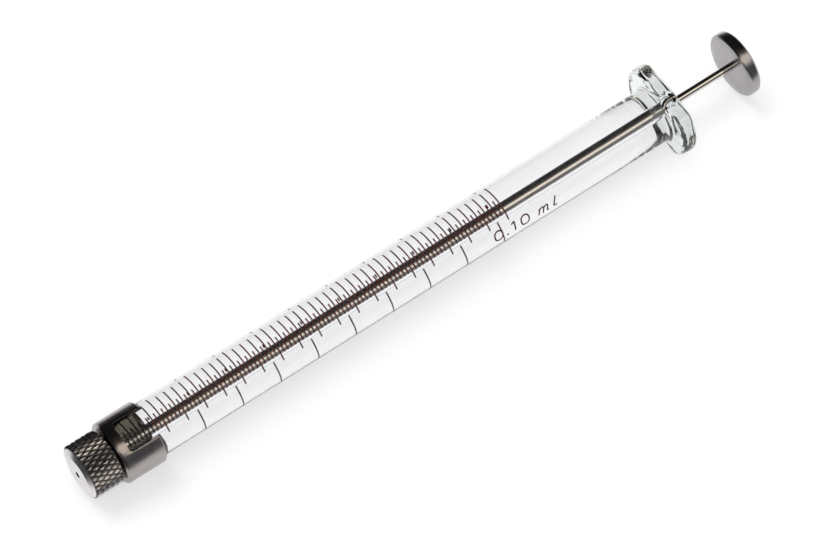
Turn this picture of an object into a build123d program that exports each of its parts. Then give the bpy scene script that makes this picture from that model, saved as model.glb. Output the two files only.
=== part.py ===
from build123d import *
import math
import os

# Glass microsyringe of 0.1 ml with a removable-needle nut. Millimetres.
# The origin is the centre of the nut's nose face. +X runs along the axis to
# the plunger button, and +Z is the normal of the flats on the finger flange.
# Angles round the axis are in degrees from +Z, positive towards -Y.

# Capacity and scale
capacity = 100.0              # cubic millimetres, which is 0.1 ml
scale_length = 60.0           # from empty to full
scale_divisions = 20          # one main line for each five microlitres
line_width = 0.19
line_thickness = 0.02         # fired enamel stands this far off the glass
line_start = 46.0             # where every main line starts
five_end = -2.0               # lines of an odd five microlitres
ten_end = -43.5               # lines of ten
ten_mark_start = -150.5       # lines of ten have a mark on the underside too
ten_mark_end = -180.0

# Glass barrel
barrel_radius = 3.85
barrel_length = 88.7          # over the flange
flange_thickness = 2.4
flange_radius = 6.65          # to the tips of the wings
flange_half_height = 4.7      # from the axis to each flat
flange_corner_radius = 1.2
flange_edge_radius = 0.9
flange_root_radius = 0.6      # where the barrel flows into the flange
bore_lead = 0.45              # countersink that guides the plunger in

# Hub, bonded round the front of the barrel
hub_gap = 0.3                 # between the nut and the hub
hub_length = 5.9
sleeve_wall = 0.605
hub_chamfer = 0.35
web_thickness = 1.4           # wall between the nut and the glass
bond_gap = 0.02               # adhesive between the glass and the sleeve
window_half_angle = 30.0      # milled window that shows the first lines
window_turn = 5.0             # its centre, from the normal of the flats
window_corner_radius = 0.5

# Threaded spigot of the hub
spigot_radius = 2.75
spigot_gap = 0.65             # from its end to the end wall of the nut
spigot_chamfer = 0.3
relief_depth = 0.3            # run-out groove beside the web
relief_width = 0.5

# Knurled nut
nut_radius = 3.95             # over the points of the knurl
nut_length = 4.7
nut_wall = 1.2                # end wall that the needle passes through
nose_chamfer_width = 0.95     # bevel of the nose face, across
nose_chamfer_length = 0.42    # and along the nut
nut_chamfer = 0.25            # at the open end
needle_hole_radius = 0.42
thread_clearance = 0.05
knurl_points = 30             # diamonds in each row round the nut
knurl_depth = 0.26
knurl_helix = 27.5            # slope of the grooves, in degrees from the axis

# Seal, carried by the nut and pressed on the end of the glass
seal_head_radius = 2.2
seal_head_thickness = 0.55
seal_stem_radius = 1.05
seal_hole_radius = 0.36
seal_funnel_radius = 0.6      # mouth of the cone that leads the needle in
seal_funnel_depth = 0.6
seal_seat_gap = 0.01          # to the glass, before the nut is nipped up
stem_clearance = 0.05

# Plunger: a piston lapped to the bore, with a thinner stem behind it
zero_gap = 0.05               # from the end of the glass to the empty mark
piston_clearance = 0.01
piston_edge = 0.08            # bevel of its two ends
stem_radius = 0.56
stem_depth = 0.6              # how far inside the flange it starts, pushed home
tip_length = 3.6              # end piece of the piston, free to turn on the neck
neck_radius = 0.3
neck_length = 2.4
barb_radius = 0.45            # collar on the end of the neck
barb_length = 0.5
button_gap = 10.1             # from the flange to the button, pushed home
button_radius = 4.65
button_thickness = 1.7
button_edge = 0.28            # bevel of both rims
button_seat_depth = 1.1       # blind hole that takes the stem
seat_gap = 0.01

# Worked out from the sizes above
bore_radius = math.sqrt(capacity / (math.pi * scale_length))
hub_front = nut_length + hub_gap
hub_radius = barrel_radius + bond_gap + sleeve_wall
barrel_front = hub_front + web_thickness
flange_back = barrel_front + barrel_length
flange_front = flange_back - flange_thickness
zero_mark = barrel_front + zero_gap
line_pitch = scale_length / scale_divisions
spigot_front = nut_wall + spigot_gap
button_front = flange_back + button_gap
nut_bore_radius = spigot_radius + thread_clearance
piston_radius = bore_radius - piston_clearance
tip_back = zero_mark + tip_length
stem_front = flange_back - stem_depth
rod_front = tip_back - neck_length
rod_back = button_front + button_seat_depth

X_AXIS = Axis.X
OVERRUN = 1.0                 # how far a cutter runs past what it cuts


def turned(outline):
    """Solid made by turning an outline, given as (x, radius) corners, round the axis."""
    with BuildPart() as body:
        with BuildSketch(Plane.XY):
            with BuildLine():
                Polyline(*outline, close=True)
            make_face()
        revolve(axis=X_AXIS)
    return body.part.solid()


def ring(x_from, x_to, inner, outer):
    """Tube along the axis, or a round bar where the inner radius is zero."""
    return turned([(x_from, inner), (x_to, inner), (x_to, outer), (x_from, outer)])


def sector(x_from, x_to, inner, outer, angle_from, angle_to):
    """Piece of a tube between two angles round the axis, which rise from the first."""
    sweep_angle = angle_to - angle_from
    corners = [(x_from, inner), (x_to, inner), (x_to, outer), (x_from, outer)]
    with BuildPart() as body:
        with BuildSketch(Plane.XZ):
            with BuildLine():
                Polyline(*corners, close=True)
            make_face()
        revolve(axis=X_AXIS, revolution_arc=sweep_angle)
    return body.part.solid().rotate(X_AXIS, angle_from)


def make_flange_root():
    """Hollow curve between the tube and the wings, which runs out at the flats."""
    start = flange_front - flange_root_radius
    foot = barrel_radius + flange_root_radius
    inside = flange_front + flange_edge_radius
    with BuildPart() as root:
        with BuildSketch(Plane.XY):
            with BuildLine():
                RadiusArc((start, barrel_radius), (flange_front, foot), flange_root_radius)
                Polyline((flange_front, foot), (inside, foot), (inside, 0), (start, 0), (start, barrel_radius))
            make_face()
        revolve(axis=X_AXIS)
        run_out = 2 * (flange_half_height - flange_edge_radius)
        Box(2 * flange_back, 4 * foot, run_out, mode=Mode.INTERSECT)
    return root.part.solid()


def make_barrel():
    """Bored glass tube with the finger flange pressed from its own end."""
    length = flange_back - barrel_front
    tube = Solid.make_cylinder(barrel_radius, length, Plane.YZ.offset(barrel_front))
    with BuildPart() as flange:
        with BuildSketch(Plane.YZ.offset(flange_front)) as outline:
            Circle(flange_radius)
            Rectangle(2 * flange_radius, 2 * flange_half_height, mode=Mode.INTERSECT)
            fillet(outline.vertices(), flange_corner_radius)
        extrude(amount=flange_thickness)
        fillet(flange.faces().filter_by(X_AXIS).edges(), flange_edge_radius)
    glass = tube + make_flange_root() + flange.part.solid()
    mouth = [
        (barrel_front - OVERRUN, 0.0),
        (flange_back + OVERRUN, 0.0),
        (flange_back + OVERRUN, bore_radius + bore_lead + OVERRUN),
        (flange_back - bore_lead, bore_radius),
        (barrel_front - OVERRUN, bore_radius),
    ]
    return glass - turned(mouth)


def make_scale_lines():
    """Fired-on main lines, of five and ten microlitres, from the first to full."""
    lines = []
    outer = barrel_radius + line_thickness
    half = line_width / 2
    for line in range(1, scale_divisions + 1):
        middle = zero_mark + line * line_pitch
        spans = [(five_end, line_start)]
        if line % 2 == 0:
            spans = [(ten_end, line_start), (ten_mark_end, ten_mark_start)]
        for low, high in spans:
            lines.append(sector(middle - half, middle + half, barrel_radius, outer, low, high))
    return Compound(children=lines)


def make_hub():
    """Sleeve with a window, end wall and spigot, turned and milled from one bar."""
    back = hub_front + hub_length
    sleeve_bore = barrel_radius + bond_gap
    stem_bore = seal_stem_radius + stem_clearance
    relief_radius = spigot_radius - relief_depth
    hub = turned([
        (spigot_front, stem_bore),
        (barrel_front, stem_bore),
        (barrel_front, sleeve_bore),
        (back, sleeve_bore),
        (back, hub_radius - hub_chamfer),
        (back - hub_chamfer, hub_radius),
        (hub_front + hub_chamfer, hub_radius),
        (hub_front, hub_radius - hub_chamfer),
        (hub_front, relief_radius),
        (hub_front - relief_width, relief_radius),
        (hub_front - relief_width, spigot_radius),
        (spigot_front + spigot_chamfer, spigot_radius),
        (spigot_front, spigot_radius - spigot_chamfer),
    ])
    outer = hub_radius + OVERRUN
    low = window_turn - window_half_angle
    high = window_turn + window_half_angle
    window = sector(barrel_front, back + OVERRUN, barrel_radius / 2, outer, low, high)
    corners = window.edges().filter_by(GeomType.LINE).group_by(X_AXIS)[0]
    window = window.fillet(window_corner_radius, corners)
    return hub - window


def knurled_bar(x_from, x_to):
    """Bar whose surface is rows of four-sided points with grooves crossing between them."""
    step = math.pi / knurl_points
    groove_pitch = step * nut_radius / math.tan(math.radians(knurl_helix))
    rows = round((x_to - x_from) / groove_pitch)
    columns = 2 * knurl_points

    def corner(column, row):
        height = nut_radius if (column + row) % 2 == 0 else nut_radius - knurl_depth
        x = x_from + row * (x_to - x_from) / rows
        angle = column * step
        return Vector(x, height * math.cos(angle), height * math.sin(angle))

    def facet(*corners):
        return Face(Wire.make_polygon(corners, close=True))

    facets = []
    for row in (0, rows):
        facets.append(facet(*[corner(column, row) for column in range(columns)]))
    for row in range(rows):
        for column in range(columns):
            near = corner(column, row)
            beside = corner(column + 1, row)
            across = corner(column + 1, row + 1)
            above = corner(column, row + 1)
            if (column + row) % 2 == 0:
                facets.append(facet(near, beside, above))
                facets.append(facet(beside, across, above))
            else:
                facets.append(facet(near, beside, across))
                facets.append(facet(near, across, above))
    return Solid(Shell(facets))


def make_needle_nut():
    """Nut with a diamond knurl that runs out in a bevel at both ends, bored for the spigot."""
    knurl = knurled_bar(0.0, nut_length)
    nose_cutter = turned([
        (-OVERRUN, nut_radius + OVERRUN),
        (-OVERRUN, nut_radius - nose_chamfer_width),
        (0.0, nut_radius - nose_chamfer_width),
        (nose_chamfer_length, nut_radius),
        (nose_chamfer_length, nut_radius + OVERRUN),
    ])
    end_cutter = turned([
        (nut_length - nut_chamfer, nut_radius + OVERRUN),
        (nut_length - nut_chamfer, nut_radius),
        (nut_length + nut_chamfer, nut_radius - 2 * nut_chamfer),
        (nut_length + nut_chamfer, nut_radius + OVERRUN),
    ])
    thread_hole = ring(nut_wall, nut_length + OVERRUN, 0.0, nut_bore_radius)
    needle_hole = ring(-OVERRUN, nut_wall + OVERRUN, 0.0, needle_hole_radius)
    return knurl - nose_cutter - end_cutter - thread_hole - needle_hole


def make_needle_seal():
    """Headed seal: the head lies in the nut, and the bored stem reaches the glass."""
    head_back = nut_wall + seal_head_thickness
    stem_back = barrel_front - seal_seat_gap
    return turned([
        (nut_wall, seal_funnel_radius),
        (nut_wall + seal_funnel_depth, seal_hole_radius),
        (stem_back, seal_hole_radius),
        (stem_back, seal_stem_radius),
        (head_back, seal_stem_radius),
        (head_back, seal_head_radius),
        (nut_wall, seal_head_radius),
    ])


def make_plunger_tip():
    """End piece of the piston, closed over the barbed neck that it turns on."""
    barb_back = rod_front + barb_length
    return turned([
        (zero_mark, 0.0),
        (rod_front, 0.0),
        (rod_front, barb_radius),
        (barb_back, barb_radius),
        (barb_back, neck_radius),
        (tip_back, neck_radius),
        (tip_back, piston_radius),
        (zero_mark + piston_edge, piston_radius),
        (zero_mark, piston_radius - piston_edge),
    ])


def make_plunger_rod():
    """Lapped piston with a barbed neck in front and a thinner stem behind."""
    barb_back = rod_front + barb_length
    return turned([
        (rod_front, 0.0),
        (rod_back, 0.0),
        (rod_back, stem_radius),
        (stem_front, stem_radius),
        (stem_front, piston_radius - piston_edge),
        (stem_front - piston_edge, piston_radius),
        (tip_back, piston_radius),
        (tip_back, neck_radius),
        (barb_back, neck_radius),
        (barb_back, barb_radius),
        (rod_front, barb_radius),
    ])


def make_plunger_button():
    """Round button with a blind hole for the stem in its inner face."""
    disc = Solid.make_cylinder(button_radius, button_thickness, Plane.YZ.offset(button_front))
    disc = disc.chamfer(button_edge, None, disc.edges().filter_by(GeomType.CIRCLE))
    hole = ring(button_front - OVERRUN, rod_back, 0.0, stem_radius + seat_gap)
    return disc - hole


PIECES = {
    "barrel": make_barrel,
    "scale_lines": make_scale_lines,
    "hub": make_hub,
    "needle_nut": make_needle_nut,
    "needle_seal": make_needle_seal,
    "plunger_tip": make_plunger_tip,
    "plunger_rod": make_plunger_rod,
    "plunger_button": make_plunger_button,
}

os.makedirs("parts", exist_ok=True)
for node, make in PIECES.items():
    shape = make()
    shape.label = node
    export_step(shape, f"parts/{node}.step")
    print(node, len(shape.solids()), round(shape.volume, 3))
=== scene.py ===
import math

import bmesh
import bpy
from bpy.props import FloatProperty, FloatVectorProperty, IntProperty, PointerProperty
from mathutils import Matrix, Vector
from mathutils.noise import noise as noise_at


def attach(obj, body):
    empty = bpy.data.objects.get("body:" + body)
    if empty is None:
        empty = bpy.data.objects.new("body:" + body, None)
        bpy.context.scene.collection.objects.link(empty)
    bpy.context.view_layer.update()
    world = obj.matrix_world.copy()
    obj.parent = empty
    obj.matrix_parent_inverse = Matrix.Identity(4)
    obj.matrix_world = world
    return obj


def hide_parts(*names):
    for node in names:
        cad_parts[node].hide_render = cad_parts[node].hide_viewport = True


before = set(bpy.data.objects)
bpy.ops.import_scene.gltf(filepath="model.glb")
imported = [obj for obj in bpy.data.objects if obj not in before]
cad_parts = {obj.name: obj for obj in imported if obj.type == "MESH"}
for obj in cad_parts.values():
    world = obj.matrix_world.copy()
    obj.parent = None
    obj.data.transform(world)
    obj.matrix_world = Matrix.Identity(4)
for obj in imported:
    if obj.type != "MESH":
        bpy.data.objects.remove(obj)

bl_info = {
    "name": "Microsyringe",
    "version": (1, 0, 0),
    "blender": (4, 5, 0),
    "location": "3D View > Sidebar > Microsyringe",
    "description": "Dresses the solids of a glass microsyringe and sets its stage",
    "category": "Object",
}

MM = 0.001

# Sizes in millimetres, and places along the axis from the nose face, as the solids have them.
# Angles are in degrees from +Z towards -Y.
NUT_LENGTH = 4.7
NUT_RADIUS = 3.95             # over the points of the knurl
NUT_WALL = 1.2                # end wall that the needle passes through
NUT_CHAMFER = 0.25
NEEDLE_HOLE = 0.42            # radius
BARREL_FRONT = 6.4
BARREL_RADIUS = 3.85
BARREL_LENGTH = 88.7          # over the flange
BORE_RADIUS = 0.7284
BORE_LEAD = 0.45              # countersink that guides the plunger in
ZERO_MARK = BARREL_FRONT + 0.05
MICROLITRE = 0.6              # from one line to the next
HUB_RADIUS = 4.475
SPIGOT_RADIUS = 2.75
FLANGE_THICKNESS = 2.4
FLANGE_BACK = BARREL_FRONT + BARREL_LENGTH
FLANGE_FRONT = FLANGE_BACK - FLANGE_THICKNESS
FLANGE_RADIUS = 6.65          # to the tips of the wings
FLANGE_HALF_HEIGHT = 4.7      # from the axis to each flat
FLANGE_CORNER = 1.2
FLANGE_EDGE = 0.9
FLANGE_ROOT = 0.6             # where the barrel flows into the flange
SEAL_FRONT = NUT_WALL
SEAL_HEAD_BACK = SEAL_FRONT + 0.55
SEAL_BACK = BARREL_FRONT - 0.01
SEAL_HEAD_RADIUS = 2.2
SEAL_STEM_RADIUS = 1.05
SEAL_HOLE = 0.36
SEAL_FUNNEL = 0.6             # mouth and depth of the cone that leads the needle in
PISTON_RADIUS = BORE_RADIUS - 0.01
PISTON_EDGE = 0.08
TIP_BACK = ZERO_MARK + 3.6
NECK_RADIUS = 0.3
BARB_RADIUS = 0.45
BARB_FRONT = TIP_BACK - 2.4
BARB_BACK = BARB_FRONT + 0.5
STEM_FRONT = FLANGE_BACK - 0.6
STEM_RADIUS = 0.56
BUTTON_FRONT = FLANGE_BACK + 10.1
BUTTON_BACK = BUTTON_FRONT + 1.7
BUTTON_RADIUS = 4.65
BUTTON_EDGE = 0.28
BUTTON_SEAT_GAP = 0.01
STEM_BACK = BUTTON_FRONT + 1.1

# Finer forms that only the dressed model has
HUB_BACK_SHIFT = 0.2          # how much farther back the hub ends
HUB_BACK = 10.9 + HUB_BACK_SHIFT
WINDOW_FROM = -25.0           # edges of the window, before its lower one is widened
WINDOW_TO = 35.0
WINDOW_WIDENED = 3.5
NUT_BORE = 3.0                # radius, with room for the thread of the spigot
THREAD_PITCH = 0.5
THREAD_START = 2.2
THREAD_TURNS = 4
THREAD_HEIGHT = 0.19
TURNING_PLAY = 0.01           # between the piston's end piece and the neck that it turns on
KNURL_SEED = 7.0
KNURL_GRID = (73, 481)        # points along the nut and round it
KNURL_STEEPNESS = 2.3         # over 2, the diamonds have flat tips

# Where the scale's lines start and end round the glass
LONG_START = 46.0             # lines of five and ten microlitres
SHORT_START = 32.0            # lines between them
TEN_END = -43.5
TEN_MARK = (-180.0, -150.5)   # second stretch of the lines of ten, on the underside
EVEN_END = -34.5
ODD_END = -2.0

# Angles past which an edge is shaded sharp
SHARP_TURNED = 30.0
SHARP_EASED = 34.0
SHARP_ENAMEL = 40.0
SHARP_GLASS = 50.0

# Colours of stains and fillings, and of painted shade
# painted shade: a dark film in the hub's sleeve and on its window's cut faces
PAINTED_SLEEVE_SHADE = (0.055, 0.049, 0.036)
ADHESIVE_BEAD = ((0.030, 0.022, 0.016), (0.060, 0.046, 0.034))
# painted shade at the bottom of the nut's grooves and in its needle hole
PAINTED_GROOVE_SHADE = (0.030, 0.025, 0.020)
# painted shade in the seal's needle hole
PAINTED_HOLE_SHADE = (0.05, 0.045, 0.045)
FLANGE_TINT = (0.86, 0.905, 0.90)
# painted shade: enamel nearly black where it lies inside the hub
ENAMEL_PAINTED_SHADE = (0.010, 0.006, 0.005)

# Camera, in millimetres and degrees
CAMERA_EYE = (-202.85, -308.75, 764.2)
CAMERA_AIM = (53.21, -1.456, -0.588)
CAMERA_UPRIGHT = (0.0, 0.9272, 0.3746)
CAMERA_ROLL = -32.016


# ---------------------------------------------------------------- sizes and colours

class ScaleSizes(bpy.types.PropertyGroup):
    """Sizes of the fired-on scale"""
    line_width: FloatProperty(
        name="Line width",
        description="Width of a scale line, in millimetres",
        default=0.20, min=0.05, max=0.4)
    line_stand: FloatProperty(
        name="Line stand",
        description="Height of the enamel over the glass, in millimetres",
        default=0.014, min=0.0)
    line_sink: FloatProperty(
        name="Line sink",
        description="Depth that the enamel is fused into the glass, in millimetres",
        default=0.012)
    divisions: IntProperty(
        name="Divisions",
        description="Number of lines from the first to full",
        default=100, min=10, max=100)


class KnurlSizes(bpy.types.PropertyGroup):
    """Sizes of the knurl on the nut"""
    points: IntProperty(
        name="Points", description="Diamonds in each row round the nut", default=30, min=8, max=60)
    rows: IntProperty(
        name="Rows", description="Rows of diamonds along the nut", default=6, min=2, max=20)
    depth: FloatProperty(
        name="Depth", description="Depth of the grooves, in millimetres", default=0.26, min=0.02, max=0.6)
    unevenness: FloatProperty(
        name="Unevenness",
        description="Share of the depth by which the tips differ",
        default=0.14, min=0.0, max=0.5)
    bevel_width: FloatProperty(
        name="Bevel width",
        description="Width of the nose bevel, in millimetres",
        default=1.40, min=0.1, max=2.0)
    bevel_length: FloatProperty(
        name="Bevel length",
        description="Length of the nose bevel, in millimetres",
        default=0.48, min=0.1, max=2.0)


class StageSizes(bpy.types.PropertyGroup):
    """Camera and light"""
    lens: FloatProperty(
        name="Lens", description="Focal length of the camera", default=283.2, subtype="DISTANCE_CAMERA")
    key_strength: FloatProperty(
        name="Key light", description="Strength of the soft key light", default=0.42, min=0.0)
    fill_strength: FloatProperty(
        name="Fill light", description="Strength of the even light from all round", default=0.66, min=0.0)


class FinishColours(bpy.types.PropertyGroup):
    """Colours of the finishes"""
    glass: FloatVectorProperty(
        name="Glass",
        description="Tint of the barrel",
        subtype="COLOR", size=3, default=(0.955, 0.962, 0.985))
    enamel: FloatVectorProperty(
        name="Enamel",
        description="Colour of the scale",
        subtype="COLOR", size=3, default=(0.076, 0.021, 0.016))
    hub: FloatVectorProperty(
        name="Hub",
        description="Colour of the hub's plating",
        subtype="COLOR", size=3, default=(0.36, 0.33, 0.325))
    nut: FloatVectorProperty(
        name="Nut",
        description="Colour of the nut's plating",
        subtype="COLOR", size=3, default=(0.70, 0.675, 0.68))
    rod: FloatVectorProperty(
        name="Rod",
        description="Colour of the plunger rod",
        subtype="COLOR", size=3, default=(0.68, 0.65, 0.62))
    button: FloatVectorProperty(
        name="Button",
        description="Colour of the plunger button",
        subtype="COLOR", size=3, default=(0.36, 0.345, 0.36))
    seal: FloatVectorProperty(
        name="Seal",
        description="Colour of the needle seal",
        subtype="COLOR", size=3, default=(0.80, 0.79, 0.76))
    tip: FloatVectorProperty(
        name="Tip",
        description="Colour of the plunger tip",
        subtype="COLOR", size=3, default=(0.66, 0.63, 0.60))


# ---------------------------------------------------------------- shader groups

def new_group(name, inputs, outputs):
    """Shader node group with float inputs as (name, default) and outputs as (name, kind)."""
    group = bpy.data.node_groups.new(name, "ShaderNodeTree")
    for label, default in inputs:
        socket = group.interface.new_socket(label, in_out="INPUT", socket_type="NodeSocketFloat")
        socket.default_value = default
    for label, kind in outputs:
        group.interface.new_socket(label, in_out="OUTPUT", socket_type=kind)
    entry = group.nodes.new("NodeGroupInput")
    leave = group.nodes.new("NodeGroupOutput")
    return group, entry, leave


def add_node(tree, kind, links=(), **settings):
    """Node with its settings, and links given as (input, source socket or value)."""
    node = tree.nodes.new(kind)
    for key, value in settings.items():
        setattr(node, key, value)
    for target, source in links:
        if isinstance(source, bpy.types.NodeSocket):
            tree.links.new(source, node.inputs[target])
        else:
            node.inputs[target].default_value = source
    return node


def math_node(tree, operation, first, second=0.0, clamp=False, third=0.0):
    """Result socket of a Math node."""
    links = [(0, first), (1, second), (2, third)]
    node = add_node(tree, "ShaderNodeMath", links, operation=operation, use_clamp=clamp)
    return node.outputs[0]


def ramp_node(tree, factor, stops):
    """Colour socket of a straight ramp with stops given as (position, colour)."""
    node = add_node(tree, "ShaderNodeValToRGB", [(0, factor)])
    ramp = node.color_ramp
    while len(ramp.elements) > 1:
        ramp.elements.remove(ramp.elements[-1])
    ramp.elements[0].position = stops[0][0]
    ramp.elements[0].color = (*stops[0][1], 1.0)
    for position, colour in stops[1:]:
        ramp.elements.new(position).color = (*colour, 1.0)
    return node.outputs[0]


def make_turning_marks():
    """Fine rings that a lathe tool leaves round the X axis, as a height and a mask."""
    group, entry, leave = new_group(
        "turning_marks", [("Rings per mm", 14.0), ("Waver", 0.25)],
        [("Height", "NodeSocketFloat"), ("Mask", "NodeSocketFloat")])
    place = add_node(group, "ShaderNodeTexCoord").outputs["Object"]
    split = add_node(group, "ShaderNodeSeparateXYZ", [(0, place)])
    along = math_node(group, "MULTIPLY", split.outputs[0], 1.0 / MM)
    across = math_node(group, "MULTIPLY", split.outputs[1], 0.05 / MM)
    up = math_node(group, "MULTIPLY", split.outputs[2], 0.05 / MM)
    across = math_node(group, "MULTIPLY", across, entry.outputs["Waver"])
    up = math_node(group, "MULTIPLY", up, entry.outputs["Waver"])
    scaled = math_node(group, "MULTIPLY", along, entry.outputs["Rings per mm"])
    stretched = add_node(group, "ShaderNodeCombineXYZ", [(0, scaled), (1, across), (2, up)])
    noise = add_node(group, "ShaderNodeTexNoise", [
        ("Vector", stretched.outputs[0]), ("Scale", 1.0), ("Detail", 2.0)])
    mask = add_node(group, "ShaderNodeMapRange", [(0, noise.outputs[0]), (1, 0.35), (2, 0.65)])
    group.links.new(noise.outputs[0], leave.inputs["Height"])
    group.links.new(mask.outputs[0], leave.inputs["Mask"])
    return group


def make_handling_marks():
    """Smudges and fine pits that handling leaves, as two masks."""
    group, entry, leave = new_group(
        "handling_marks", [("Smudge size mm", 2.2), ("Pit size mm", 0.18)],
        [("Smudge", "NodeSocketFloat"), ("Pits", "NodeSocketFloat")])
    place = add_node(group, "ShaderNodeTexCoord").outputs["Object"]
    for label, source, detail, low, high in (
            ("Smudge", "Smudge size mm", 4.0, 0.38, 0.66), ("Pits", "Pit size mm", 3.0, 0.60, 0.74)):
        scale = math_node(group, "DIVIDE", 1.0 / MM, entry.outputs[source])
        noise = add_node(group, "ShaderNodeTexNoise", [
            ("Vector", place), ("Scale", scale), ("Detail", detail)])
        mask = add_node(group, "ShaderNodeMapRange", [(0, noise.outputs[0]), (1, low), (2, high)])
        group.links.new(mask.outputs[0], leave.inputs[label])
    return group


def make_band_mask():
    """Soft mask of what lies between two places along the X axis."""
    group, entry, leave = new_group(
        "band_mask", [("From mm", 0.0), ("To mm", 1.0), ("Soft mm", 0.1)], [("Mask", "NodeSocketFloat")])
    place = add_node(group, "ShaderNodeTexCoord").outputs["Object"]
    split = add_node(group, "ShaderNodeSeparateXYZ", [(0, place)])
    along = math_node(group, "MULTIPLY", split.outputs[0], 1.0 / MM)
    after = math_node(group, "SUBTRACT", along, entry.outputs["From mm"])
    before = math_node(group, "SUBTRACT", entry.outputs["To mm"], along)
    rise = math_node(group, "DIVIDE", after, entry.outputs["Soft mm"], clamp=True)
    fall = math_node(group, "DIVIDE", before, entry.outputs["Soft mm"], clamp=True)
    mask = math_node(group, "MULTIPLY", rise, fall)
    group.links.new(mask, leave.inputs["Mask"])
    return group


def make_radius_mask():
    """Soft mask of what lies nearer to the X axis than a radius."""
    group, entry, leave = new_group(
        "radius_mask", [("Radius mm", 1.0), ("Soft mm", 0.02)], [("Mask", "NodeSocketFloat")])
    place = add_node(group, "ShaderNodeTexCoord").outputs["Object"]
    flat = add_node(group, "ShaderNodeVectorMath", [
        (0, place), (1, (0.0, 1.0 / MM, 1.0 / MM))], operation="MULTIPLY")
    length = add_node(group, "ShaderNodeVectorMath", [(0, flat.outputs[0])], operation="LENGTH")
    inside = math_node(group, "SUBTRACT", entry.outputs["Radius mm"], length.outputs["Value"])
    mask = math_node(group, "DIVIDE", inside, entry.outputs["Soft mm"], clamp=True)
    group.links.new(mask, leave.inputs["Mask"])
    return group


GROUPS = {}


def shader_groups():
    """The shared shader groups, built once."""
    if not GROUPS:
        GROUPS["turning"] = make_turning_marks()
        GROUPS["handling"] = make_handling_marks()
        GROUPS["band"] = make_band_mask()
        GROUPS["radius"] = make_radius_mask()
    return GROUPS


def use_group(tree, key, **values):
    """Node of a shared group with its own values."""
    node = tree.nodes.new("ShaderNodeGroup")
    node.node_tree = shader_groups()[key]
    for label, value in values.items():
        node.inputs[label.replace("_", " ")].default_value = value
    return node


# ---------------------------------------------------------------- materials

def new_material(name):
    """Material with an empty tree, its Principled shader and its output."""
    material = bpy.data.materials.new(name)
    material.use_nodes = True
    tree = material.node_tree
    tree.nodes.clear()
    shader = tree.nodes.new("ShaderNodeBsdfPrincipled")
    output = tree.nodes.new("ShaderNodeOutputMaterial")
    tree.links.new(shader.outputs[0], output.inputs[0])
    return material, tree, shader


def mix_colours(tree, factor, first, second):
    """Colour socket between two colours."""
    node = tree.nodes.new("ShaderNodeMix")
    node.data_type = "RGBA"
    for target, source in ((0, factor), (6, first), (7, second)):
        if isinstance(source, bpy.types.NodeSocket):
            tree.links.new(source, node.inputs[target])
        elif target == 0:
            node.inputs[target].default_value = source
        else:
            node.inputs[target].default_value = (*source, 1.0)
    return node.outputs[2]


def material_parts(material):
    """Node tree and Principled shader of a material."""
    tree = material.node_tree
    return tree, next(node for node in tree.nodes if node.type == "BSDF_PRINCIPLED")


def feeding(shader, label):
    """Socket that feeds one of a shader's inputs."""
    return shader.inputs[label].links[0].from_socket


def add_bump(tree, shader, height, strength, depth):
    """Links a height to a shader's normal, with its depth in millimetres."""
    bump = add_node(tree, "ShaderNodeBump", [
        ("Strength", strength), ("Distance", depth * MM), ("Height", height)])
    tree.links.new(bump.outputs[0], shader.inputs["Normal"])


def metal_material(name, colour, roughness, rings, ring_depth, smudge=0.10):
    """Plated or bright metal with turning marks, smudges and a few dull pits."""
    material, tree, shader = new_material(name)
    shader.inputs["Metallic"].default_value = 1.0
    turning = use_group(tree, "turning", Rings_per_mm=rings)
    handling = use_group(tree, "handling")
    dull = tuple(0.80 * c for c in colour)
    bright = tuple(min(1.0, 1.08 * c) for c in colour)
    ringed = mix_colours(tree, turning.outputs["Mask"], bright, colour)
    pitted = math_node(tree, "MULTIPLY", handling.outputs["Pits"], 0.5)
    worn = mix_colours(tree, pitted, ringed, dull)
    tree.links.new(worn, shader.inputs["Base Color"])
    smudged = math_node(tree, "MULTIPLY", handling.outputs["Smudge"], smudge)
    rough = math_node(tree, "ADD", smudged, roughness)
    ring_rough = math_node(tree, "MULTIPLY", turning.outputs["Mask"], 0.06)
    tree.links.new(math_node(tree, "ADD", rough, ring_rough), shader.inputs["Roughness"])
    add_bump(tree, shader, turning.outputs["Height"], 1.0, ring_depth)
    return material


def hub_material(colour):
    """Plated hub, with painted shade as a dark film inside the sleeve and on the window's cut faces."""
    material = metal_material("hub_plating", colour, 0.16, 9.0, 0.004)
    tree, shader = material_parts(material)
    # Painted shade: the inside of the sleeve and the window's cut faces are darkened like a film.
    inside = use_group(tree, "radius", Radius_mm=HUB_RADIUS - 0.08, Soft_mm=0.02)
    behind = use_group(tree, "band", From_mm=BARREL_FRONT - 0.03, To_mm=HUB_BACK - 0.02, Soft_mm=0.02)
    film = math_node(tree, "MULTIPLY", inside.outputs["Mask"], behind.outputs["Mask"])
    painted_sleeve_colour = mix_colours(tree, film, feeding(shader, "Base Color"), PAINTED_SLEEVE_SHADE)
    tree.links.new(painted_sleeve_colour, shader.inputs["Base Color"])
    return material


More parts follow.
